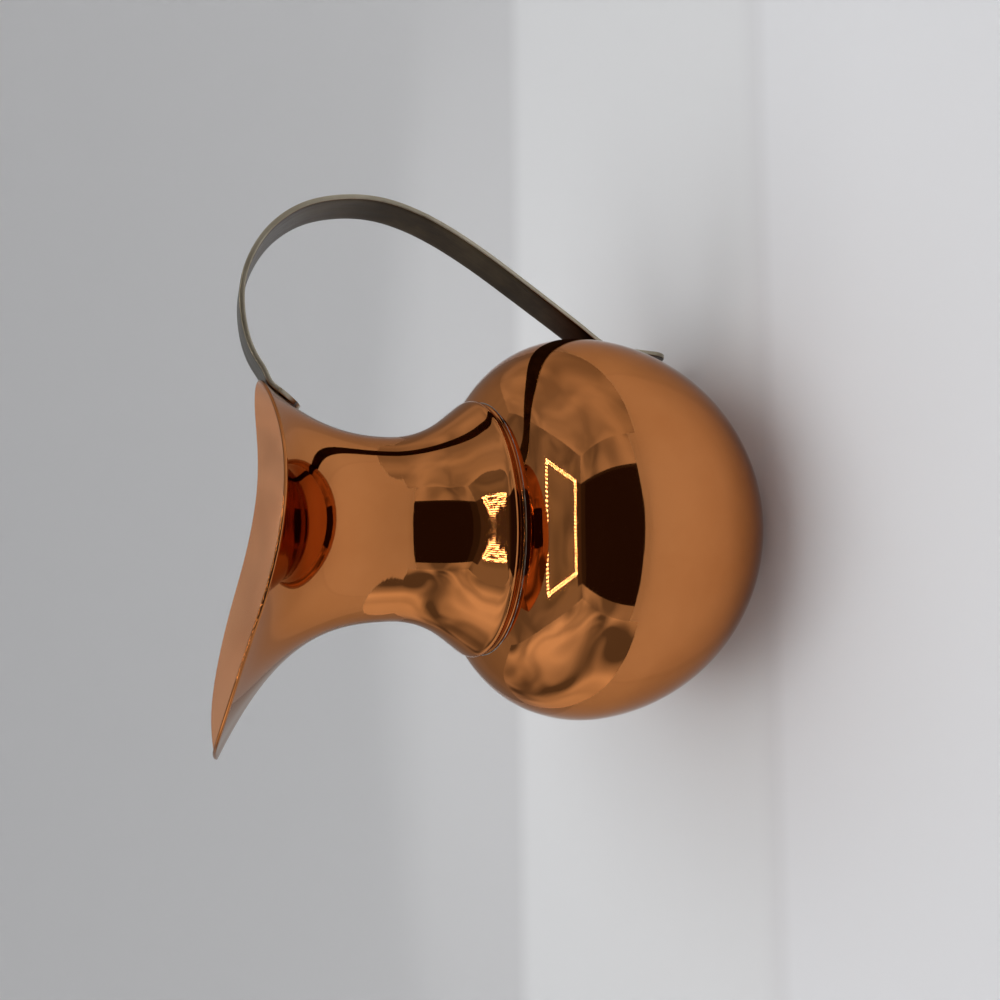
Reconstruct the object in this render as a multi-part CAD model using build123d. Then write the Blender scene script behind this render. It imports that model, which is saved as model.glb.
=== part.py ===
from build123d import *
import math
import os

# Spun copper pitcher: a near-spherical bowl, a waisted neck drawn out into a long
# pouring lip, and a brass strap handle.  Millimetres.  Origin: centre of the base
# on the body axis, at table level.  +Z up, +X towards the handle, -X towards the
# spout, so the XZ plane is the plane of symmetry.

# ---- driving sizes ------------------------------------------------------------
SHEET = 1.0              # copper sheet thickness, bowl and neck
BOWL_R = 72.0            # greatest outside radius of the bowl
BOWL_ZC = 61.3           # height of that greatest radius above the table
BASE_R = 35.0            # radius of the flat the pitcher stands on
FOOT_R = 44.1            # radius where the bowl's curve starts to turn under
FOOT_H = 4.4             # height of that point
SHOULDER_H = 39.4        # from the greatest radius up to the neck seat
LIP_R = 44.8             # outside radius of the bowl's upright lip
LIP_H = 1.8              # height of the lip above the seat
SEAM_GAP = 0.2           # solder film between lip and collar
COLLAR_LIFT = 0.25       # solder under the collar's edge
FILM_FIT = 0.02          # solder stops this short of the copper above or behind it
BEAD_FIT = 0.1           # the bead stands this clear of the collar, which bells out a hair above its edge
RIM_PAST = 5.0           # the rim's cutting line runs this far past the sheet
BEAD = 0.75              # width of the visible solder bead
WAIST_R = 32.0           # outside radius of the neck at its waist
NECK_H = 33.8            # from the neck seat up to the waist
STRAP_W = 16.5           # strap width
STRAP_T = 1.7            # strap thickness
JOINT_GAP = 0.12         # solder film between strap and copper
SEAT_TOP = 2.7           # the strap leaves the neck this far below the rim
SEAT_LEN = 9.6           # height of neck that the strap lies against
CONTACT_Z = 45.6         # height where the strap touches the bowl
TAIL = 30.2              # strap running on below that point
PAD_W = 11.0             # width of the solder pads behind the strap
PAD_H = 8.0              # and their height

# rim of the neck: angle from the handle, outside radius, rise above the waist
RIM_ANGLE = [0, 25, 50, 75, 100, 120, 140, 155, 168, 180]
RIM_RADIUS = [48.3, 48.0, 48.6, 52.0, 56.5, 58.5, 62.5, 65.5, 68.0, 71.9]
RIM_RISE = [40.8, 39.9, 37.7, 37.1, 40.6, 45.8, 50.5, 52.7, 53.1, 52.3]

# ---- sizes that follow from them ----------------------------------------------
SEAT_Z = BOWL_ZC + SHOULDER_H           # where the shoulder turns up into the lip
LIP_TOP = SEAT_Z + LIP_H
COLLAR_IN = LIP_R + SEAM_GAP            # the collar slips over the lip
COLLAR_R = COLLAR_IN + SHEET
COLLAR_BOT = SEAT_Z + COLLAR_LIFT
WAIST_Z = SEAT_Z + NECK_H

# shape of the shoulder, collar and handle as fractions of the spans they fill
SHOULDER = [(0.978, 0.185), (0.912, 0.365), (0.809, 0.533), (0.665, 0.683), (0.485, 0.812), (0.268, 0.919)]
COLLAR = [(0.957, 0.075), (0.836, 0.153), (0.579, 0.291), (0.350, 0.434), (0.186, 0.575), (0.071, 0.728),
          (0.014, 0.872)]
HANDLE = [(0.006, 0.017), (-0.005, 0.045), (-0.016, 0.085), (-0.020, 0.133), (-0.017, 0.182), (-0.006, 0.234),
          (0.016, 0.284), (0.046, 0.329), (0.086, 0.371), (0.134, 0.405), (0.191, 0.430), (0.257, 0.443),
          (0.327, 0.445), (0.394, 0.435), (0.463, 0.411), (0.534, 0.374), (0.606, 0.326), (0.679, 0.270),
          (0.752, 0.209), (0.825, 0.147), (0.896, 0.086), (0.942, 0.045)]


def cubic(xs, ys):
    """Smooth curve through the points, level at its start, as a function."""
    n = len(xs)
    h = [xs[i + 1] - xs[i] for i in range(n - 1)]
    a = [[0.0] * n for _ in range(n)]
    d = [0.0] * n
    a[0][0], a[0][1] = 2 * h[0], h[0]
    d[0] = 6 * (ys[1] - ys[0]) / h[0]
    a[n - 1][n - 1] = 1.0
    for i in range(1, n - 1):
        a[i][i - 1], a[i][i], a[i][i + 1] = h[i - 1], 2 * (h[i - 1] + h[i]), h[i]
        d[i] = 6 * ((ys[i + 1] - ys[i]) / h[i] - (ys[i] - ys[i - 1]) / h[i - 1])
    for i in range(1, n):
        k = a[i][i - 1] / a[i - 1][i - 1]
        for j in range(n):
            a[i][j] -= k * a[i - 1][j]
        d[i] -= k * d[i - 1]
    m = [0.0] * n
    for i in range(n - 1, -1, -1):
        m[i] = (d[i] - sum(a[i][j] * m[j] for j in range(i + 1, n))) / a[i][i]

    def f(x):
        i = 0
        while i < n - 2 and x > xs[i + 1]:
            i += 1
        t0, t1, hh = xs[i + 1] - x, x - xs[i], h[i]
        return (m[i] * t0 ** 3 / (6 * hh) + m[i + 1] * t1 ** 3 / (6 * hh)
                + (ys[i] / hh - m[i] * hh / 6) * t0 + (ys[i + 1] / hh - m[i + 1] * hh / 6) * t1)
    return f


rim_r = cubic(RIM_ANGLE, RIM_RADIUS)
rim_rise = cubic(RIM_ANGLE, RIM_RISE)


def flare_power(deg):
    """How late the neck flares out: 2.2 at the handle, 3.2 at the sides, 2.7 at the spout."""
    a = math.radians(deg)
    return 2.45 - 0.25 * math.cos(a) + 0.75 * math.sin(a) ** 2


skirt_flare = cubic([0.0] + [1 - w for u, w in reversed(COLLAR)] + [1.0],
                    [0.0] + [u for u, w in reversed(COLLAR)] + [1.0])


def neck_radius(deg, z):
    """Outside radius of the neck from the collar's edge up to and past the rim."""
    if z <= WAIST_Z:
        return WAIST_R + (COLLAR_R - WAIST_R) * skirt_flare(min(1.0, (WAIST_Z - z) / (WAIST_Z - LIP_TOP)))
    t = (z - WAIST_Z) / rim_rise(deg)
    p = flare_power(deg)
    g = t ** p if t <= 1 else 1 + p * (t - 1)
    return WAIST_R + (rim_r(deg) - WAIST_R) * g


def neck_wall(deg, z, depth):
    """Radius of a skin `depth` inside the neck, measured square to the sheet."""
    e, da = 0.25, 1.0
    slope_z = (neck_radius(deg, z + e) - neck_radius(deg, z - e)) / (2 * e)
    r = neck_radius(deg, z)
    lo, hi = max(deg - da, 0.0), min(deg + da, 180.0)
    slope_a = (neck_radius(hi, z) - neck_radius(lo, z)) / math.radians(hi - lo) / r
    return r - depth * math.sqrt(1 + slope_z ** 2 + slope_a ** 2)


def beside(edge, amount, n):
    """Points `amount` to the left of a curve drawn in the XZ plane."""
    pts = []
    for i in range(n + 1):
        p, t = edge @ (i / n), edge % (i / n)
        pts.append((p.X - amount * t.Z, 0, p.Z + amount * t.X))
    return pts


def flat_shape(lines):
    return make_face(Wire([e for line in lines for e in line.edges()]))


# ---- bowl: spun from one sheet ------------------------------------------------
# outside: flat base, round lower half, flatter shoulder, then a short upright lip
# that the neck is slipped over
LOWER_B = (BOWL_ZC - FOOT_H) / math.sqrt(1 - (FOOT_R / BOWL_R) ** 2)
FOOT_A = math.asin((BOWL_ZC - FOOT_H) / LOWER_B)


def bowl_radius(z):
    """Outside radius of the bowl's lower half."""
    return BOWL_R * math.sqrt(1 - ((BOWL_ZC - z) / LOWER_B) ** 2)


def lower_point(a):
    return (BOWL_R * math.cos(a), 0, BOWL_ZC - LOWER_B * math.sin(a))


foot_dir = Vector(BOWL_R * math.sin(FOOT_A), 0, LOWER_B * math.cos(FOOT_A)).normalized()
turn_under = Spline([(BASE_R, 0, 0), lower_point(FOOT_A)], tangents=[(1, 0, 0), foot_dir])
lower = Spline([lower_point(FOOT_A * (1 - i / 8)) for i in range(9)], tangents=[foot_dir, (0, 0, 1)])
shoulder_end = Vector(-0.93, 0, 0.36)
upper = Spline([(BOWL_R, 0, BOWL_ZC)]
               + [(LIP_R + (BOWL_R - LIP_R) * u, 0, BOWL_ZC + SHOULDER_H * w) for u, w in SHOULDER]
               + [(LIP_R, 0, SEAT_Z)], tangents=[(0, 0, 1), shoulder_end])
in_turn = Spline(beside(turn_under, SHEET, 10), tangents=[(1, 0, 0), foot_dir])
in_lower = Spline(beside(lower, SHEET, 12), tangents=[foot_dir, (0, 0, 1)])
LIP_IN = LIP_R - SHEET
LIP_ROOT = SEAT_Z - 0.6 * SHEET         # inside corner under the lip
in_upper = Spline([p for p in beside(upper, SHEET, 14) if p[0] > LIP_IN + 0.4] + [(LIP_IN, 0, LIP_ROOT)],
                  tangents=[(0, 0, 1), (-0.80, 0, 0.60)])
body_bowl = revolve(flat_shape([
    Line((0, 0, 0), (BASE_R, 0, 0)), turn_under, lower, upper,
    Line((LIP_R, 0, SEAT_Z), (LIP_R, 0, LIP_TOP)),
    Line((LIP_R, 0, LIP_TOP), (LIP_IN, 0, LIP_TOP)),
    Line((LIP_IN, 0, LIP_TOP), (LIP_IN, 0, LIP_ROOT)),
    in_upper, in_lower, in_turn,
    Line((BASE_R, 0, SHEET), (0, 0, SHEET)), Line((0, 0, SHEET), (0, 0, 0)),
]), axis=Axis.Z, revolution_arc=360)

# ---- neck: collar, waist and flared rim drawn out into the pouring lip ----------
STATIONS = [0, 9, 18, 27, 36, 45, 54, 63, 72, 81, 90, 99, 108, 117, 126, 135, 144, 153, 161, 169, 175, 180]
NECK_TOP = WAIST_Z + max(RIM_RISE) + 1.5
LEVELS = [COLLAR_BOT + (NECK_TOP - COLLAR_BOT) * i / 20 for i in range(21)]


def ring(z, depth):
    half = []
    for deg in STATIONS:
        r, a = neck_wall(deg, z, depth), math.radians(deg)
        half.append((r * math.cos(a), r * math.sin(a), z))
    return Wire([Spline(half + [(x, -y, h) for x, y, h in half[-2:0:-1]], periodic=True).edge()])


def neck_body(depth):
    return Solid.make_loft([ring(z, depth) for z in LEVELS], ruled=False)


# the rim is cut to one line seen from the side, high at the lip and low half way;
# the cutting line is carried RIM_PAST beyond the sheet at both ends
rim_line = [Vector(rim_r(a) * math.cos(math.radians(a)), 0, WAIST_Z + rim_rise(a)) for a in range(0, 181, 6)]
past_handle = rim_line[0] + (rim_line[0] - rim_line[2]).normalized() * RIM_PAST
past_spout = rim_line[-1] + (rim_line[-1] - rim_line[-2]).normalized() * RIM_PAST
far, sky = 2 * max(RIM_RADIUS), WAIST_Z + 2 * max(RIM_RISE)
above_rim = flat_shape([
    Spline([past_handle] + rim_line + [past_spout]),
    Line(past_spout, (-far, 0, past_spout.Z)),
    Line((-far, 0, past_spout.Z), (-far, 0, sky)),
    Line((-far, 0, sky), (far, 0, sky)),
    Line((far, 0, sky), (far, 0, past_handle.Z)),
    Line((far, 0, past_handle.Z), past_handle),
])
neck_spout = neck_body(0.0) - neck_body(SHEET) - extrude(above_rim, amount=far, dir=(0, 1, 0), both=True)

# ---- solder seam: film between lip and collar, and the bead that shows ----------
film_r, film_top = COLLAR_IN - FILM_FIT, COLLAR_BOT - FILM_FIT
bead_in, bead_out = COLLAR_R + BEAD_FIT, COLLAR_R + BEAD
solder_neck_seam = revolve(flat_shape([
    Line((LIP_R, 0, SEAT_Z - 0.5 * SHEET), (bead_out + 0.25, 0, SEAT_Z - 0.9 * SHEET - 0.5)),
    Line((bead_out + 0.25, 0, SEAT_Z - 0.9 * SHEET - 0.5), (bead_out, 0, SEAT_Z - 0.5)),
    Line((bead_out, 0, SEAT_Z - 0.5), (bead_in, 0, COLLAR_BOT + 0.2)),
    Line((bead_in, 0, COLLAR_BOT + 0.2), (bead_in, 0, film_top)),
    Line((bead_in, 0, film_top), (film_r, 0, film_top)),
    Line((film_r, 0, film_top), (film_r, 0, LIP_TOP - 0.3)),
    Line((film_r, 0, LIP_TOP - 0.3), (LIP_R, 0, LIP_TOP - 0.3)),
    Line((LIP_R, 0, LIP_TOP - 0.3), (LIP_R, 0, SEAT_Z - 0.5 * SHEET)),
]), axis=Axis.Z, revolution_arc=360) - body_bowl

# ---- brass strap handle -----------------------------------------------------------
# `back` is the face on the outside of the bend: its upper end lies against the neck
# under the rim; the other face touches the bowl and the strap runs on past it


def seat_point(z):
    e = 0.2
    slope = (neck_radius(0, z + e) - neck_radius(0, z - e)) / (2 * e)
    k = (JOINT_GAP + 0.02) / math.sqrt(1 + slope ** 2)
    return (neck_radius(0, z) + k, 0, z - k * slope)


rim_z = WAIST_Z + RIM_RISE[0]
top_at = Vector(RIM_RADIUS[0], 0, rim_z)
low_at = Vector(bowl_radius(CONTACT_Z) + JOINT_GAP + STRAP_T, 0, CONTACT_Z)
chord = low_at - top_at
out = Vector(-chord.Z, 0, chord.X)
seat = [seat_point(rim_z - SEAT_TOP - SEAT_LEN * (1 - i / 4)) for i in range(5)]
loop = [top_at + chord * a + out * b for a, b in HANDLE]
near = [low_at + Vector(1.05, 0, 2.8), low_at + Vector(-0.45, 0, -2.0)]
tail = [low_at + Vector(-0.8 - 0.3 * i / 3, 0, -TAIL * (0.25 + 0.75 * i / 3)) for i in range(4)]
back = Spline(seat + loop + near + tail)
front = Spline(beside(back, -STRAP_T, 90))
strap = extrude(flat_shape([back, Line(back @ 1, front @ 1), front, Line(front @ 0, back @ 0)]),
                amount=STRAP_W / 2, dir=(0, 1, 0), both=True)


def round_end(at, along):
    """Tool that leaves a half-round end on the strap; `along` points off the end."""
    along = along.normalized()
    frame = Plane(origin=at - along * (STRAP_W / 2), x_dir=along, z_dir=along.cross(Vector(0, 1, 0)))
    return frame * (Pos(STRAP_W, 0, 0) * Box(2 * STRAP_W, STRAP_W + 6, STRAP_W)) - frame * Cylinder(STRAP_W / 2, 1.2 * STRAP_W)


handle_strap = strap - round_end(back @ 1, back % 1) - round_end(back @ 0, (back % 0) * -1)


# ---- solder holding the strap to the neck and to the bowl -----------------------
# each pad fills the wedge between the flat strap and the round copper behind it
def pad(at, along, copper):
    frame = Plane(origin=at, x_dir=along, z_dir=along.cross(Vector(0, 1, 0)))
    clear_of = Pos(FILM_FIT, 0, 0) * copper
    pieces = (frame * Box(PAD_H, PAD_W, 3.4) - clear_of - handle_strap).solids()
    return min(pieces, key=lambda p: p.distance_to(copper) + p.distance_to(handle_strap))


seat_mid = Vector(*seat[2])
solder_handle_upper = pad(seat_mid, (Vector(*seat[3]) - Vector(*seat[1])).normalized(), neck_spout)
solder_handle_lower = pad(low_at - Vector(STRAP_T + 0.5, 0, 0), Vector(0, 0, 1), body_bowl)

nodes = {
    "body_bowl": body_bowl,
    "neck_spout": neck_spout,
    "solder_neck_seam": solder_neck_seam,
    "handle_strap": handle_strap,
    "solder_handle_upper": solder_handle_upper,
    "solder_handle_lower": solder_handle_lower,
}
os.makedirs("parts", exist_ok=True)
for name, shape in nodes.items():
    solid = max(shape.solids(), key=lambda p: p.volume)
    solid.label = name
    print(name, [round(p.volume, 1) for p in shape.solids()], solid.is_valid)
    export_step(solid, "parts/" + name + ".step")
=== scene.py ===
"""Spun copper pitcher: its looks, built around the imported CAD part."""

import math

import bpy
import numpy as np
from mathutils import Matrix, Vector


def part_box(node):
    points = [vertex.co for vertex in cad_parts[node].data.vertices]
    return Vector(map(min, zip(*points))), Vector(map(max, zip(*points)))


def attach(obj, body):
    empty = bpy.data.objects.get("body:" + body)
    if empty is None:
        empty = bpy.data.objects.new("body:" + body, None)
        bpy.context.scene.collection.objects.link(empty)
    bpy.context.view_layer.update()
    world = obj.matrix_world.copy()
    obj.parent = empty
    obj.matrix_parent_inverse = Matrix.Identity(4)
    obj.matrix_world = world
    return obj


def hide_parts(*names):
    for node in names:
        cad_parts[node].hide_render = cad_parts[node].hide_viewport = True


MM = 0.001

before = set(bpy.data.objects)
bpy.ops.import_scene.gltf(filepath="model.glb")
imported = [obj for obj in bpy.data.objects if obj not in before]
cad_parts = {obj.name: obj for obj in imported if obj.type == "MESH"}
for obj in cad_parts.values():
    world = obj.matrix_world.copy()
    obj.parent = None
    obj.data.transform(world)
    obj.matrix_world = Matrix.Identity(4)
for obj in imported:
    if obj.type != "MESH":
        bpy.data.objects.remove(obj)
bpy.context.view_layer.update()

# ---- sizes, in millimetres: the frame's boxes, and the CAD part's driving sizes ----
bowl_high = np.array(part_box("body_bowl")[1]) / MM
neck_low = np.array(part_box("neck_spout")[0]) / MM
strap_low, strap_high = (np.array(c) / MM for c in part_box("handle_strap"))

SHEET = 1.0                         # copper, bowl and neck
BOWL_R = bowl_high[1]
BOWL_ZC = 61.3                      # height of the greatest radius
BASE_R = 35.0                       # flat it stands on
FOOT_R, FOOT_H = 44.1, 4.4          # where the bowl's curve starts to turn under
LIP_R, LIP_H = 44.8, 1.8            # the bowl's upright lip
LIP_TOP = bowl_high[2]
SEAT_Z = LIP_TOP - LIP_H
SHOULDER_H = SEAT_Z - BOWL_ZC
SEAM_GAP = 0.2                      # solder film between lip and collar
COLLAR_R = LIP_R + SEAM_GAP + SHEET
COLLAR_BOT = neck_low[2]
WAIST_R, NECK_H = 32.0, 33.8
WAIST_Z = SEAT_Z + NECK_H
STRAP_W = strap_high[1] - strap_low[1]
STRAP_T = 1.7
SEAT_TOP, SEAT_LEN = 2.7, 9.6       # where the strap lies against the neck
CONTACT_Z, TAIL = 45.6, 30.2        # where it touches the bowl, and how far it runs on
JOINT_GAP = 0.12                    # solder under the strap

# rim of the neck: angle from the handle, outside radius, rise above the waist
RIM_ANGLE = [0, 25, 50, 75, 100, 120, 140, 155, 168, 180]
RIM_RADIUS = [48.3, 48.0, 48.6, 52.0, 56.5, 58.5, 62.5, 65.5, 68.0, 71.9]
RIM_RISE = [40.8, 39.9, 37.7, 37.1, 40.6, 45.8, 50.5, 52.7, 53.1, 52.3]

# shoulder, collar and handle as fractions of the spans they fill
SHOULDER = [(0.978, 0.185), (0.912, 0.365), (0.809, 0.533), (0.665, 0.683), (0.485, 0.812), (0.268, 0.919)]
COLLAR = [(0.957, 0.075), (0.836, 0.153), (0.579, 0.291), (0.350, 0.434), (0.186, 0.575), (0.071, 0.728),
          (0.014, 0.872)]
HANDLE = [(0.006, 0.017), (-0.005, 0.045), (-0.016, 0.085), (-0.020, 0.133), (-0.017, 0.182), (-0.006, 0.234),
          (0.016, 0.284), (0.046, 0.329), (0.086, 0.371), (0.134, 0.405), (0.191, 0.430), (0.257, 0.443),
          (0.327, 0.445), (0.394, 0.435), (0.463, 0.411), (0.534, 0.374), (0.606, 0.326), (0.679, 0.270),
          (0.752, 0.209), (0.825, 0.147), (0.896, 0.086), (0.942, 0.045)]


# ---- curves ---------------------------------------------------------------------
def spline(xs, ys, start=None, end=None):
    """Cubic through (xs, ys); start and end are slopes there, or None for free ends."""
    xs, ys = np.asarray(xs, float), np.asarray(ys, float)
    n, h = len(xs), np.diff(xs)
    a, d = np.zeros((n, n)), np.zeros((n,) + ys.shape[1:])
    step = (np.diff(ys, axis=0).T / h).T
    for i in range(1, n - 1):
        a[i, i - 1:i + 2] = h[i - 1], 2 * (h[i - 1] + h[i]), h[i]
        d[i] = 6 * (step[i] - step[i - 1])
    a[0, 0] = a[-1, -1] = 1.0
    if start is not None:
        a[0, :2] = 2 * h[0], h[0]
        d[0] = 6 * (step[0] - start)
    if end is not None:
        a[-1, -2:] = h[-1], 2 * h[-1]
        d[-1] = 6 * (end - step[-1])
    m = np.linalg.solve(a, d)

    def f(x):
        x = np.asarray(x, float)
        i = np.clip(np.searchsorted(xs, x, side="right") - 1, 0, n - 2)
        t0, t1, hh = xs[i + 1] - x, x - xs[i], h[i]
        if ys.ndim > 1:
            t0, t1, hh = t0[..., None], t1[..., None], hh[..., None]
        return (m[i] * t0 ** 3 + m[i + 1] * t1 ** 3) / (6 * hh) + (ys[i] / hh - m[i] * hh / 6) * t0 + (
            ys[i + 1] / hh - m[i + 1] * hh / 6) * t1
    return f


def path(points, count, start=None, end=None):
    """Evenly spaced points on a smooth curve through `points`; start and end are directions."""
    p = np.asarray(points, float)
    s = np.concatenate([[0], np.cumsum(np.linalg.norm(np.diff(p, axis=0), axis=1))])
    unit = [None if v is None else np.array(v, float) / np.linalg.norm(v) for v in (start, end)]
    dense = spline(s, p, *unit)(np.linspace(0, s[-1], 40 * len(p)))
    run = np.concatenate([[0], np.cumsum(np.linalg.norm(np.diff(dense, axis=0), axis=1))])
    even = np.linspace(0, run[-1], count)
    return np.stack([np.interp(even, run, dense[:, k]) for k in range(p.shape[1])], axis=1)


def left_of(p):
    """Unit vectors to the left of a 2-D polyline."""
    t = np.gradient(p, axis=0)
    t /= np.linalg.norm(t, axis=1)[:, None]
    return np.stack([-t[:, 1], t[:, 0]], axis=1)


rim_radius = spline(RIM_ANGLE, RIM_RADIUS, start=0.0)
rim_rise = spline(RIM_ANGLE, RIM_RISE, start=0.0)
skirt = spline([0.0] + [1 - w for u, w in reversed(COLLAR)] + [1.0],
               [0.0] + [u for u, w in reversed(COLLAR)] + [1.0], start=0.0)


def flare_radius(deg, t):
    """Outside radius of the neck, a share t of the way from the waist to the rim."""
    a = np.radians(deg)
    p = 2.45 - 0.25 * np.cos(a) + 0.75 * np.sin(a) ** 2
    return WAIST_R + (rim_radius(deg) - WAIST_R) * t ** p


# ---- mesh building ----------------------------------------------------------------
def grid_object(name, rows, wrap=True, close_ends=False):
    """A quad surface through rows of points given in millimetres, shape (rows, columns, 3)."""
    r, c, _ = rows.shape
    i = np.arange(r * c).reshape(r, c)
    j = np.roll(i, -1, axis=1) if wrap else i[:, 1:]
    k = i if wrap else i[:, :-1]
    faces = np.stack([k[:-1], j[:-1], j[1:], k[1:]], axis=-1).reshape(-1, 4).tolist()
    if close_ends:
        faces += [i[0, ::-1].tolist(), i[-1].tolist()]
    mesh = bpy.data.meshes.new(name)
    mesh.from_pydata((rows.reshape(-1, 3) * MM).tolist(), [], faces)
    mesh.validate()
    mesh.polygons.foreach_set("use_smooth", [True] * len(mesh.polygons))
    obj = bpy.data.objects.new(name, mesh)
    bpy.context.scene.collection.objects.link(obj)
    return obj


SPIN_TURNS = 288


def spin(name, profile, turns=SPIN_TURNS):
    """A surface of revolution from (radius, height) points in millimetres."""
    a = np.linspace(0, 2 * math.pi, turns, endpoint=False)
    rows = np.stack([profile[:, :1] * np.cos(a), profile[:, :1] * np.sin(a),
                     np.repeat(profile[:, 1:2], turns, axis=1)], axis=-1)
    return grid_object(name, rows)


# ---- bowl ---------------------------------------------------------------------------
lower_b = (BOWL_ZC - FOOT_H) / math.sqrt(1 - (FOOT_R / BOWL_R) ** 2)
foot_a = math.asin((BOWL_ZC - FOOT_H) / lower_b)
foot_dir = (BOWL_R * math.sin(foot_a), lower_b * math.cos(foot_a))
foot = (BOWL_R * math.cos(foot_a), BOWL_ZC - lower_b * math.sin(foot_a))
arc = foot_a * (1 - np.linspace(0, 1, 70))
round_lower = np.stack([BOWL_R * np.cos(arc), BOWL_ZC - lower_b * np.sin(arc)], axis=1)
shoulder_line = [(LIP_R + (BOWL_R - LIP_R) * u, BOWL_ZC + SHOULDER_H * w) for u, w in SHOULDER]
shoulder = path([(BOWL_R, BOWL_ZC)] + shoulder_line + [(LIP_R, SEAT_Z)], 90, (0, 1), (-0.93, 0.36))
base_flat = np.stack([np.linspace(0.02, BASE_R, 16), np.zeros(16)], axis=1)
turn_under = path([(BASE_R, 0), (0.5 * (BASE_R + foot[0]) + 0.6, 0.95), foot], 24, (1, 0), foot_dir)
outside = np.concatenate([base_flat[:-1], turn_under[:-1], round_lower[:-1], shoulder])
inside = (outside + left_of(outside) * SHEET)[::-1]
inside = inside[(inside[:, 0] > 0.01) & ~((inside[:, 1] > SEAT_Z - 3) & (inside[:, 0] < LIP_R))]
lip = np.array([(LIP_R, LIP_TOP - 0.2), (LIP_R - 0.3, LIP_TOP), (LIP_R - SHEET + 0.3, LIP_TOP),
                (LIP_R - SHEET, LIP_TOP - 0.3), (LIP_R - SHEET, SEAT_Z - 0.2)])
inside = inside[inside[:, 1] < SEAT_Z - 0.9]
bowl = spin("bowl", np.concatenate([outside, lip, inside]))

# ---- neck with its pouring lip ---------------------------------------------------------
TURNS, SKIRT_ROWS, FLARE_ROWS = 360, 110, 110
angle = np.linspace(0, 360, TURNS, endpoint=False)
half = np.where(angle > 180, 360 - angle, angle)
skirt_z = np.linspace(COLLAR_BOT, WAIST_Z, SKIRT_ROWS, endpoint=False)
skirt_r = WAIST_R + (COLLAR_R - WAIST_R) * skirt(np.clip((WAIST_Z - skirt_z) / (WAIST_Z - LIP_TOP), 0, 1))
# the collar's edge is rolled in a little towards the bowl
ROLL_Z, ROLL_OUT, ROLL_IN = LIP_TOP + 1.2, 0.45, 1.1
skirt_r += ROLL_OUT * np.exp(-((skirt_z - ROLL_Z) / 1.9) ** 2)
skirt_r -= ROLL_IN * np.clip((ROLL_Z - skirt_z) / (ROLL_Z - COLLAR_BOT), 0, 1) ** 1.5
share = np.linspace(0, 1, FLARE_ROWS)
radius = np.concatenate([np.repeat(skirt_r[:, None], TURNS, axis=1),
                         flare_radius(half[None, :], share[:, None])])
height = np.concatenate([np.repeat(skirt_z[:, None], TURNS, axis=1),
                         WAIST_Z + share[:, None] * rim_rise(half)[None, :]])
turn = np.radians(angle)[None, :]
outer = np.stack([radius * np.cos(turn), radius * np.sin(turn), height], axis=-1)


def normals(p):
    """Outward unit normals of a grid of points that wraps round in its columns."""
    up = np.gradient(p, axis=0)
    round_ = np.roll(p, -1, axis=1) - np.roll(p, 1, axis=1)
    n = np.cross(round_, up)
    return n / np.linalg.norm(n, axis=-1)[..., None]


out = normals(outer)
up = np.gradient(outer, axis=0)[-1]
up /= np.linalg.norm(up, axis=-1)[:, None]
# rounded raw edge: the sheet's thickness turned over its rim
edge = [outer[-1] + SHEET / 2 * (up * 0.7 * math.sin(b) + out[-1] * (math.cos(b) - 1))
        for b in np.linspace(0, math.pi, 9)[1:-1]]
inner = outer - out * SHEET
neck = grid_object("neck", np.concatenate([outer, np.array(edge), inner[::-1], outer[:1]]))


# ---- shallow dents ----------------------------------------------------------------------
def dent(obj, turn_deg, across, z, size, depth):
    """Pushes a small round dent into a spun piece, `across` from the axis at height z."""
    a = math.radians(turn_deg)
    at = Vector((across * math.cos(a), across * math.sin(a), z)) * MM
    for v in obj.data.vertices:
        d = (v.co - at).length / (size * MM)
        if d < 2.5:
            v.co -= Vector((math.cos(a), math.sin(a), 0.3)).normalized() * depth * MM * math.exp(-d * d)


dent(neck, -63.0, 34.8, 120.0, 2.4, 0.10)
dent(bowl, -62.0, 60.0, 86.0, 3.2, 0.10)
dent(bowl, -150.0, 62.0, 84.0, 4.5, 0.10)
dent(bowl, 128.0, 70.0, 48.0, 3.5, 0.08)

# ---- solder bead round the collar -----------------------------------------------------
BEAD_R = 0.30
bead_arc = np.linspace(0.0, 0.9 * math.pi, 12)
bead_at = np.array([COLLAR_R - 0.35, SEAT_Z - 0.55])
bead = bead_at + BEAD_R * np.stack([np.cos(bead_arc), np.sin(bead_arc)], axis=1)
bead = np.concatenate([bead, [bead_at + (-0.8, -0.2), bead_at + (0.5, -0.75)]])
seam = spin("seam", np.concatenate([bead, bead[:1]]))


# ---- brass strap -------------------------------------------------------------------------
def seat_point(z):
    t, e = (z - WAIST_Z) / RIM_RISE[0], 0.2 / RIM_RISE[0]
    slope = (flare_radius(0.0, t + e) - flare_radius(0.0, t - e)) / 0.4
    k = (JOINT_GAP + 0.02) / math.sqrt(1 + slope ** 2)
    return np.array([flare_radius(0.0, t) + k, z - k * slope])


top_at = np.array([RIM_RADIUS[0], WAIST_Z + RIM_RISE[0]])
bowl_at = BOWL_R * math.sqrt(1 - ((BOWL_ZC - CONTACT_Z) / lower_b) ** 2)
low_at = np.array([bowl_at + JOINT_GAP + STRAP_T, CONTACT_Z])
chord = low_at - top_at
away = np.array([-chord[1], chord[0]])
back_line = [seat_point(top_at[1] - SEAT_TOP - SEAT_LEN * (1 - i / 4)) for i in range(5)]
back_line += [top_at + chord * a + away * b for a, b in HANDLE]
back_line += [low_at + (1.05, 2.8), low_at + (-0.45, -2.0)]
back_line += [low_at + (-0.8 - 0.1 * i, -TAIL * (0.25 + 0.25 * i)) for i in range(4)]
SECTIONS = 420
back = path(back_line, 4 * SECTIONS)
into = -left_of(back)
run = np.concatenate([[0], np.cumsum(np.linalg.norm(np.diff(back, axis=0), axis=1))])
ease = (1 - np.cos(np.linspace(0, math.pi, 60))) / 2
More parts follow.
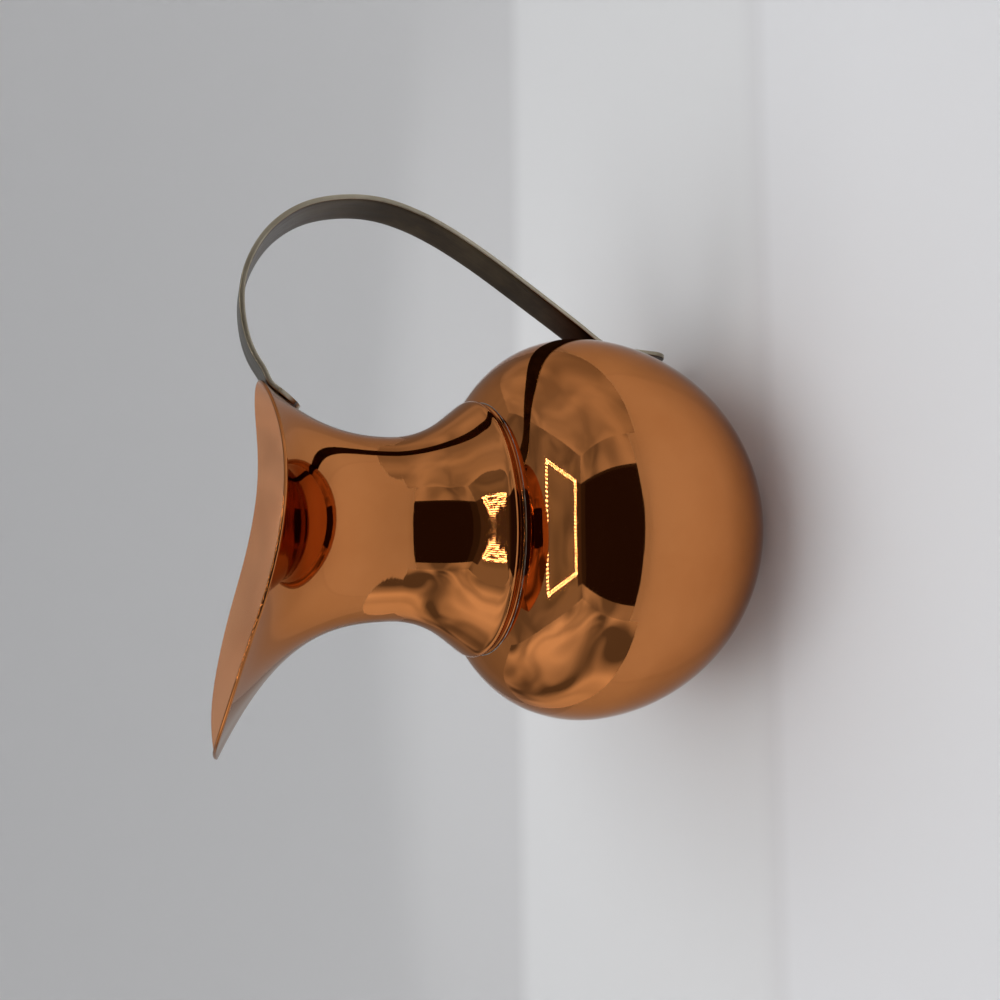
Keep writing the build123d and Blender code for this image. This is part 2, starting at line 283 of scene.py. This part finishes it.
ends = STRAP_W / 2 * (1 - np.cos(np.linspace(0.06, math.pi / 2, 40)))
at = np.unique(np.concatenate([ends, np.linspace(STRAP_W / 2, run[-1] - STRAP_W / 2, SECTIONS), run[-1] - ends]))
near_end = np.minimum(at, run[-1] - at)
reach = np.clip(STRAP_W / 2 - near_end, 0, None)
half_w = np.sqrt(np.clip((STRAP_W / 2) ** 2 - reach ** 2, 0.04, None))
mid = np.stack([np.interp(at, run, back[:, k] + into[:, k] * STRAP_T / 2) for k in range(2)], axis=1)
side = np.stack([np.interp(at, run, into[:, k]) for k in range(2)], axis=1)
EDGE_R = 0.4
corner = np.linspace(0, math.pi / 2, 5)
rows, wide = [], None               # `wide` is a full-width section; the rounded tips have fewer points
for m, s, w in zip(mid, side, half_w):
    r = min(EDGE_R, w * 0.9)
    loop = []
    for sy, sn, start in ((1, 1, 0), (-1, 1, math.pi / 2), (-1, -1, math.pi), (1, -1, 1.5 * math.pi)):
        for b in corner + start:
            loop.append((sy * (w - r) + r * math.cos(b), sn * (STRAP_T / 2 - EDGE_R) + EDGE_R * math.sin(b)))
    flat = []
    for a, b in zip(loop, loop[1:] + loop[:1]):
        flat.append(a)
        if math.dist(a, b) > 3 * EDGE_R and abs(a[1] - b[1]) < 1e-6:
            flat += [(a[0] + (b[0] - a[0]) * f, a[1]) for f in np.linspace(0, 1, 9)[1:-1]]
    rows.append([(m[0] + s[0] * n, y, m[1] + s[1] * n) for y, n in flat])
    wide = flat if w == half_w.max() else wide
rows = [r for r in rows if len(r) == len(wide)]
strap = grid_object("strap", np.array(rows), close_ends=True)


# ---- materials -------------------------------------------------------------------------------
class Nodes:
    """Short way to lay out one material's nodes."""

    def __init__(self, name):
        self.material = bpy.data.materials.new(name)
        self.material.use_nodes = True
        self.tree = self.material.node_tree
        self.tree.nodes.clear()

    def add(self, kind, inputs=None, **settings):
        node = self.tree.nodes.new(kind)
        for k, v in settings.items():
            setattr(node, k, v)
        for k, v in (inputs or {}).items():
            if isinstance(v, bpy.types.NodeSocket):
                self.tree.links.new(v, node.inputs[k])
            else:
                node.inputs[k].default_value = v
        return node

    def math(self, op, a, b):
        return self.add("ShaderNodeMath", {0: a, 1: b}, operation=op).outputs[0]

    def noise(self, at, scale, detail=2.0, rough=0.5):
        return self.add("ShaderNodeTexNoise", {"Vector": at, "Scale": scale, "Detail": detail,
                                               "Roughness": rough}).outputs["Fac"]

    def ramp(self, fac, stops):
        node = self.add("ShaderNodeValToRGB", {"Fac": fac})
        e = node.color_ramp.elements
        while len(e) < len(stops):
            e.new(0.5)
        for el, (pos, col) in zip(e, stops):
            el.position = pos
            el.color = (*col, 1) if len(col) == 3 else col
        return node.outputs["Color"]

    def blend(self, share, first, second):
        return self.add("ShaderNodeMix", {0: share, 6: first, 7: second}, data_type="RGBA").outputs[2]

    def span(self, value, a, b, c, d):
        return self.add("ShaderNodeMapRange", {"Value": value, "From Min": a, "From Max": b, "To Min": c,
                                               "To Max": d}).outputs["Result"]

    def stretched(self, at, scale):
        return self.add("ShaderNodeMapping", {"Vector": at, "Scale": scale}).outputs["Vector"]

    def bump(self, height, distance, below=None):
        ins = {"Height": height, "Distance": distance, "Strength": 1.0}
        if below is not None:
            ins["Normal"] = below
        return self.add("ShaderNodeBump", ins).outputs["Normal"]

    def output(self, surface):
        self.add("ShaderNodeOutputMaterial", {"Surface": surface})
        return self.material


def around(n, where):
    """Coordinates that follow a spun surface: turn, radius and height."""
    xyz = n.add("ShaderNodeSeparateXYZ", {"Vector": where}).outputs
    turn = n.math("ARCTAN2", xyz["Y"], xyz["X"])
    across = n.math("SQRT", n.math("ADD", n.math("MULTIPLY", xyz["X"], xyz["X"]),
                                   n.math("MULTIPLY", xyz["Y"], xyz["Y"])), 0.0)
    return n.add("ShaderNodeCombineXYZ", {"X": turn, "Y": across, "Z": xyz["Z"]}).outputs["Vector"]


def copper(name, tint, dark, rough_low, rough_high, wobble, metallic=1.0, marks_and_edge_shade=1.0):
    """Copper: colour clouding, spinning lines, hairline scratches, a hand-worked wobble, and painted shade that
    makes it darker and browner towards its outline.
    """
    n = Nodes(name)
    where = n.add("ShaderNodeTexCoord").outputs["Object"]
    spun = around(n, where)
    cloud = n.noise(where, 22.0, 4.0, 0.6)
    colour = n.ramp(cloud, [(0.30, dark), (0.62, tint)])
    lines = n.noise(n.stretched(spun, (1.2, 900.0, 900.0)), 1.0, 3.0, 0.6)
    scratch = n.noise(n.stretched(where, (60.0, 60.0, 900.0)), 1.0, 2.0, 0.5)
    rough = n.span(n.math("ADD", n.math("MULTIPLY", lines, 0.6), n.math("MULTIPLY", cloud, 0.4)), 0.3, 0.7,
                   rough_low, rough_high)
    soft = n.noise(where, 26.0, 1.0, 0.4)
    worked = n.bump(soft, wobble)
    worked = n.bump(lines, 0.0000035 * marks_and_edge_shade, worked)
    worked = n.bump(scratch, 0.000002 * marks_and_edge_shade, worked)
    # painted shade: the copper turns darker and browner where its surface turns away from view
    facing = n.add("ShaderNodeLayerWeight", {"Blend": 0.5}).outputs["Facing"]
    edge_shade = n.span(facing, 0.45, 0.95, 0.0, 0.5 * marks_and_edge_shade)
    edge_shaded_colour = n.blend(edge_shade, colour, (0.20, 0.085, 0.035, 1))
    bsdf = n.add("ShaderNodeBsdfPrincipled", {"Base Color": edge_shaded_colour, "Metallic": metallic, "Roughness": rough,
                                             "Specular Tint": (0.70, 0.60, 0.54, 1), "Normal": worked})
    return n.output(bsdf.outputs["BSDF"])


def brass(name, film_tones):
    """Old brass strip: brown film, lengthwise rubbing, and lighter edges, part wear and part painted highlight."""
    n = Nodes(name)
    where = n.add("ShaderNodeTexCoord").outputs["Object"]
    film = n.noise(where, 55.0, 5.0, 0.62)
    streak = n.noise(n.stretched(where, (40.0, 900.0, 40.0)), 1.0, 3.0, 0.6)
    base = n.ramp(n.math("ADD", n.math("MULTIPLY", film, 0.65), n.math("MULTIPLY", streak, 0.35)),
                  list(zip((0.30, 0.50, 0.70), film_tones)))
    # lighter brass on the sharp edges: part wear, part painted highlight
    edge_pointiness = n.add("ShaderNodeNewGeometry").outputs["Pointiness"]
    edge_wear_and_highlight = n.span(edge_pointiness, 0.53, 0.60, 0.0, 0.75)
    mixed = n.blend(edge_wear_and_highlight, base, (0.30, 0.24, 0.15, 1))
    rough = n.span(streak, 0.3, 0.7, 0.26, 0.42)
    normal = n.bump(streak, 0.00001)
    normal = n.bump(film, 0.00003, normal)
    bsdf = n.add("ShaderNodeBsdfPrincipled", {"Base Color": mixed, "Metallic": 1.0, "Roughness": rough,
                                             "Normal": normal})
    return n.output(bsdf.outputs["BSDF"])


def solder(name):
    """Lumpy dull grey solder."""
    n = Nodes(name)
    where = n.add("ShaderNodeTexCoord").outputs["Object"]
    lump = n.noise(where, 260.0, 3.0, 0.6)
    base = n.ramp(lump, [(0.35, (0.14, 0.12, 0.11)), (0.65, (0.44, 0.42, 0.40))])
    bsdf = n.add("ShaderNodeBsdfPrincipled", {"Base Color": base, "Metallic": 1.0, "Roughness": 0.38,
                                             "Normal": n.bump(lump, 0.0002)})
    return n.output(bsdf.outputs["BSDF"])


polished = copper("copper_polished", (0.60, 0.222, 0.070), (0.54, 0.190, 0.055), 0.015, 0.060, 0.00014)
satin = copper("copper_satin_inside", (0.93, 0.45, 0.235), (0.86, 0.39, 0.195), 0.15, 0.22, 0.00005, 0.8, 0.3)
old_brass = brass("brass_aged", [(0.026, 0.020, 0.012), (0.052, 0.041, 0.027), (0.095, 0.078, 0.052)])
# darker, browner copy of the brass for the face inside the bend: painted shade
shaded_brass = brass("brass_inside_painted_shade", [(0.022, 0.012, 0.005), (0.050, 0.030, 0.013), (0.095, 0.065, 0.032)])
# lighter brass for the strap's two edges: part wear, part painted highlight
edge_wear_and_highlight_brass = brass("brass_edge_wear_and_highlight", [(0.30, 0.26, 0.19), (0.42, 0.37, 0.28), (0.55, 0.49, 0.38)])
grey_solder = solder("solder_grey")

for obj, node, slot in ((bowl, "body_bowl", "copper"), (neck, "neck_spout", "copper"),
                        (seam, "solder_neck_seam", "solder"), (strap, "handle_strap", "strap_brass")):
    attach(obj, "root")
    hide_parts(node)
for obj, materials in ((bowl, (polished, satin)), (neck, (polished, satin)), (seam, (grey_solder,)),
                       (strap, (old_brass, shaded_brass, edge_wear_and_highlight_brass))):
    for material in materials:
        obj.data.materials.append(material)
# columns of the strap's mesh: the face away from the bend, the face inside it (a darker brass, painted shade), and
# the two edges (a lighter brass, part wear and part painted highlight)
OUT_FACE, IN_FACE, EDGE_FACE = 0, 1, 2
lift = np.array([(p[1] + q[1]) / 2 for p, q in zip(wide, wide[1:] + wide[:1])])
by_column = np.where(np.abs(lift) < STRAP_T / 2 - 0.06, EDGE_FACE, np.where(lift > 0, IN_FACE, OUT_FACE))
by_face = np.tile(by_column, len(rows) - 1).tolist()
end_faces = len(strap.data.polygons) - len(by_face)
strap.data.polygons.foreach_set("material_index", by_face + [EDGE_FACE] * end_faces)
for node in ("solder_handle_upper", "solder_handle_lower"):
    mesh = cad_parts[node].data
    mesh.materials.clear()
    mesh.materials.append(grey_solder)
# the inside faces of neck and bowl are satin
inner_start = (len(outer) + len(edge)) * TURNS
neck_inside = [1 if min(p.vertices) >= inner_start - TURNS and max(p.vertices) >= inner_start
               and p.vertices[0] < (len(outer) * 2 + len(edge)) * TURNS - TURNS else 0 for p in neck.data.polygons]
neck.data.polygons.foreach_set("material_index", neck_inside)
bowl_start = (len(outside) + len(lip) - 1) * SPIN_TURNS
bowl.data.polygons.foreach_set("material_index",
                               [1 if min(p.vertices) >= bowl_start else 0 for p in bowl.data.polygons])


# ---- stage: floor, backdrop, lights ---------------------------------------------------------------
def stage_material(name, colour, strength=1.0):
    """One even glow."""
    n = Nodes(name)
    return n.output(n.add("ShaderNodeEmission", {"Color": (*colour, 1), "Strength": strength}).outputs[0])


def card(name, corners, material, faces=None):
    """A glowing card that only the polished metal sees."""
    mesh = bpy.data.meshes.new(name)
    mesh.from_pydata(corners, [], faces or [list(range(len(corners)))])
    obj = bpy.data.objects.new(name, mesh)
    bpy.context.scene.collection.objects.link(obj)
    mesh.materials.append(material)
    obj.visible_camera = obj.visible_diffuse = obj.visible_shadow = obj.visible_transmission = False
    return obj


# one pale sheet that runs up into a wall all the way round
ROOM_R, SWEEP_R, ROOM_H = 1.1, 0.45, 2.2
bend = np.linspace(0, math.pi / 2, 14)
cyc = np.array([(0.0001, 0.0)] + [(r, 0.0) for r in np.linspace(0.05, ROOM_R - SWEEP_R, 20)]
               + [(ROOM_R - SWEEP_R + SWEEP_R * math.sin(b), SWEEP_R * (1 - math.cos(b))) for b in bend[1:]]
               + [(ROOM_R, ROOM_H)])
room = spin("room", cyc / MM, 128)
n = Nodes("pale_sheet")
place = n.add("ShaderNodeTexCoord").outputs["Object"]
depth = n.add("ShaderNodeSeparateXYZ", {"Vector": place}).outputs["Y"]
BACK_FOLD, FRONT_FOLD = 0.172, -0.047      # creases across the sheet, in metres
# the sheet's tone from front to back: thin darker lines along both creases are painted shade; it is a little
# darker just behind the front crease and all the way behind the back one
tone = n.ramp(n.span(depth, FRONT_FOLD - 0.4, BACK_FOLD + 0.4, 0, 1),
              [(0.0, (0.78, 0.785, 0.80)), (0.3925, (0.78, 0.785, 0.80)), (0.396, (0.71, 0.71, 0.72)),
               (0.405, (0.755, 0.76, 0.765)), (0.600, (0.78, 0.785, 0.79)), (0.622, (0.66, 0.66, 0.667)),
               (0.80, (0.72, 0.72, 0.725))])
room.data.materials.append(n.output(n.add("ShaderNodeBsdfDiffuse", {"Color": tone}).outputs[0]))


def area(name, at, towards, size, power):
    """A soft light that neither the camera nor the polished metal sees."""
    light = bpy.data.lights.new(name, "AREA")
    light.shape, light.size, light.size_y, light.energy = "RECTANGLE", size[0], size[1], power
    obj = bpy.data.objects.new(name, light)
    obj.location = at
    obj.rotation_mode = "QUATERNION"
    obj.rotation_quaternion = (Vector(towards) - Vector(at)).to_track_quat("-Z", "Y")
    obj.visible_glossy = False
    obj.visible_camera = False
    bpy.context.scene.collection.objects.link(obj)


area("top", (0, -0.05, 0.95), (0, 0, 0), (0.9, 0.8), 5.9)
area("left", (-0.9, -0.2, 0.55), (0, 0, 0.1), (0.6, 0.6), 1.2)
area("right", (0.9, -0.2, 0.55), (0, 0, 0.1), (0.6, 0.6), 0.9)

# what the polished metal mirrors: a light tent with an open front and a ring of LEDs
TENT_Z, TENT_X, TENT_BACK, TENT_FRONT = 0.60, 0.46, 0.50, -0.42


def fabric(name, level, folds, scale):
    """Lit cloth: an even glow with soft folds in it."""
    n = Nodes(name)
    where = n.add("ShaderNodeTexCoord").outputs["Object"]
    warp = n.add("ShaderNodeTexNoise", {"Vector": n.stretched(where, scale), "Scale": 1.0, "Detail": 1.5,
                                        "Roughness": 0.45, "Distortion": 0.9}).outputs["Fac"]
    lo, hi = level * (1 - folds), level * (1 + folds)
    strength = n.span(warp, 0.36, 0.64, lo, hi)
    return n.output(n.add("ShaderNodeEmission", {"Color": (1, 0.985, 0.96, 1), "Strength": strength}).outputs[0])


X, F, B, Z = TENT_X, TENT_FRONT, TENT_BACK, TENT_Z
LOW_SCALE = (2.2, 2.4, 4.0)
FINE_SCALE = (2, 3, 4)
SKIRTING = 0.06                            # the front starts this high above the table
card("tent_left", [(-X, F, 0), (-X, B, 0), (-X, B, Z), (-X, F, Z)], fabric("tent_left", 0.56, 0.75, LOW_SCALE))
card("tent_right", [(X, F, 0), (X, B, 0), (X, B, Z), (X, F, Z)], fabric("tent_right", 0.46, 0.30, FINE_SCALE))
card("tent_back", [(-X, B, 0), (X, B, 0), (X, B, Z), (-X, B, Z)], fabric("tent_back", 0.36, 0.1, FINE_SCALE))
card("tent_top", [(-X, F, Z), (X, F, Z), (X, B, Z), (-X, B, Z)], fabric("tent_top", 0.26, 0.3, (4, 4, 4)))
card("tent_front", [(-X, F, SKIRTING), (X, F, SKIRTING), (X, F, Z), (-X, F, Z)],
     fabric("tent_front", 0.40, 0.5, LOW_SCALE))
# its open mouth, in two steps: the dark room, and the dim hem of fabric over it
MOUTH = (-0.335, 0.232, 0.52)
HEM = (-0.34, 0.25, Z - 0.004)
for name, (x0, x1, top), front, tone in (("tent_hem", HEM, F + 0.003, (0.040, 0.030, 0.024)),
                                        ("tent_mouth", MOUTH, F + 0.006, (0.022, 0.013, 0.010))):
    card(name, [(x0, front, SKIRTING), (x1, front, SKIRTING), (x1, front, top), (x0, front, top)],
         stage_material(name, tone))
# and the dim strip of roof between the mouth and the LEDs
BROW_BACK, BROW_Z = -0.362, Z - 0.005
card("tent_brow", [(HEM[0], F, BROW_Z), (HEM[1], F, BROW_Z), (HEM[1], BROW_BACK, BROW_Z),
                   (HEM[0], BROW_BACK, BROW_Z)], stage_material("dim_roof", (0.075, 0.060, 0.050)))

# ring of LEDs under the tent's roof: two rows of square chips along four bars
RING = [(-0.246, -0.348), (0.246, -0.348), (0.270, -0.050), (-0.270, -0.050)]
LED, PITCH, LANES = 0.0055, 0.0175, (-0.0066, 0.0066)
corners, faces = [], []
for (x0, y0), (x1, y1) in zip(RING, RING[1:] + RING[:1]):
    length = math.dist((x0, y0), (x1, y1))
    dx, dy = (x1 - x0) / length, (y1 - y0) / length
    for i in range(int(length / PITCH) + 1):
        for lane in LANES:
            x, y, k = x0 + dx * i * PITCH - dy * lane, y0 + dy * i * PITCH + dx * lane, len(corners)
            corners += [(x + sx * LED / 2, y + sy * LED / 2, Z - 0.01)
                        for sx, sy in ((-1, -1), (1, -1), (1, 1), (-1, 1))]
            faces.append([k, k + 1, k + 2, k + 3])
card("led_ring", corners, stage_material("led", (1.0, 0.95, 0.85), 30.0), faces=faces)

world = bpy.data.worlds.new("studio")
bpy.context.scene.world = world
world.use_nodes = True
background = world.node_tree.nodes["Background"].inputs
background["Color"].default_value = (0.95, 0.97, 1.0, 1)
background["Strength"].default_value = 0.17

# ---- camera: turned on its side, so that the pitcher lies across the picture -------------------------
CAMERA_AT = Vector((-1.243, -238.490, 192.222)) * MM
YAW, PITCH_DOWN, ROLL = (math.radians(d) for d in (2.821, 23.303, -0.581))
right0 = Vector((math.cos(YAW), -math.sin(YAW), 0))
ahead0 = Vector((math.sin(YAW), math.cos(YAW), 0))
ahead = ahead0 * math.cos(PITCH_DOWN) - Vector((0, 0, 1)) * math.sin(PITCH_DOWN)
down0 = ahead.cross(right0)
right = right0 * math.cos(ROLL) + down0 * math.sin(ROLL)
down = down0 * math.cos(ROLL) - right0 * math.sin(ROLL)
cam_data = bpy.data.cameras.new("camera")
cam_data.lens, cam_data.sensor_width = 24.95, 36.0
cam_data.clip_start = 0.01
camera = bpy.data.objects.new("camera", cam_data)
bpy.context.scene.collection.objects.link(camera)
camera.matrix_world = Matrix.Translation(CAMERA_AT) @ Matrix((down, right, -ahead)).transposed().to_4x4()
bpy.context.scene.camera = camera

bpy.context.scene.view_settings.view_transform = "Standard"
bpy.context.scene.view_settings.look = "None"
